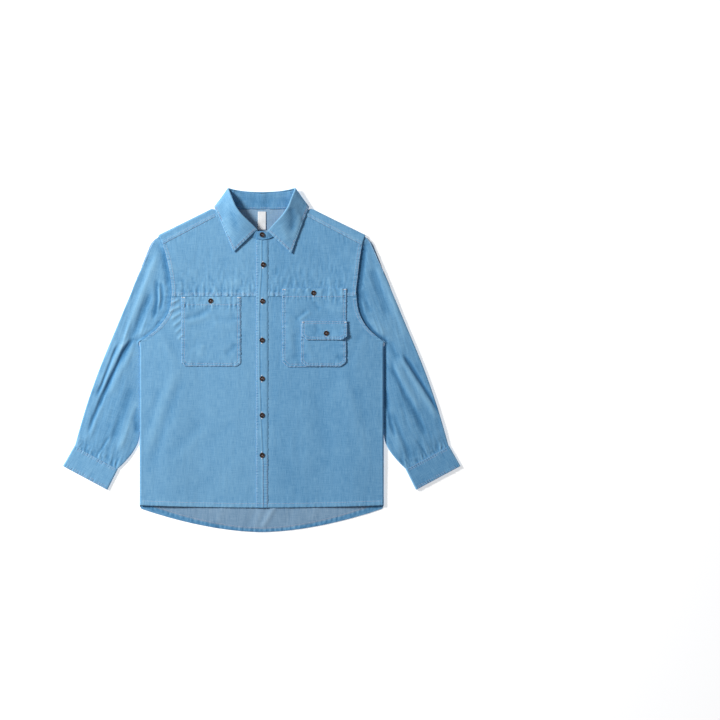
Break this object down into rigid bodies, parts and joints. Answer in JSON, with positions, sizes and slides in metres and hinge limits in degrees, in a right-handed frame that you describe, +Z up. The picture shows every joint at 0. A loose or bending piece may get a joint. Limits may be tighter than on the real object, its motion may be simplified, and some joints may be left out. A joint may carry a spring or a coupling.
{
  "type": "denim shirt",
  "caption": "Long-sleeved denim shirt laid flat on its back, with a pointed collar, chest pockets, a small flapped pocket and horn-look buttons.",
  "frame": {"origin": "middle of the shirt's outline, on the surface it lies on", "axes": "+Z up from the surface, +Y towards the collar, +X to the right of the view from above, which is the wearer's left side"},
  "size_m": [0.9936, 0.8593, 0.0235],
  "materials": {
    "denim": "matt, soft washed",
    "label_cloth": "matt",
    "horn": "satin"
  },
  "bodies": {
    "root": {"back": "denim", "yoke": "denim", "front_upper_right": "denim", "front_upper_left": "denim", "front_lower_right": "denim", "front_lower_left": "denim", "placket": "denim", "collar_stand": "denim", "collar": "denim", "sleeve_right": "denim", "sleeve_left": "denim", "cuff_right": "denim", "cuff_left": "denim", "sleeve_placket_right": "denim", "sleeve_placket_left": "denim", "pocket_right": "denim", "pocket_left": "denim", "coin_pocket_left": "denim", "pocket_flap_left": "denim", "neck_label": "label_cloth", "button_collar": "horn", "button_front_1": "horn", "button_front_2": "horn", "button_front_3": "horn", "button_front_4": "horn", "button_front_5": "horn", "button_front_6": "horn", "button_pocket_right": "horn", "button_pocket_left": "horn", "button_flap_left": "horn", "button_cuff_right": "horn", "button_cuff_left": "horn", "button_sleeve_placket_right": "horn", "button_sleeve_placket_left": "horn"}
  },
  "joints": []
}
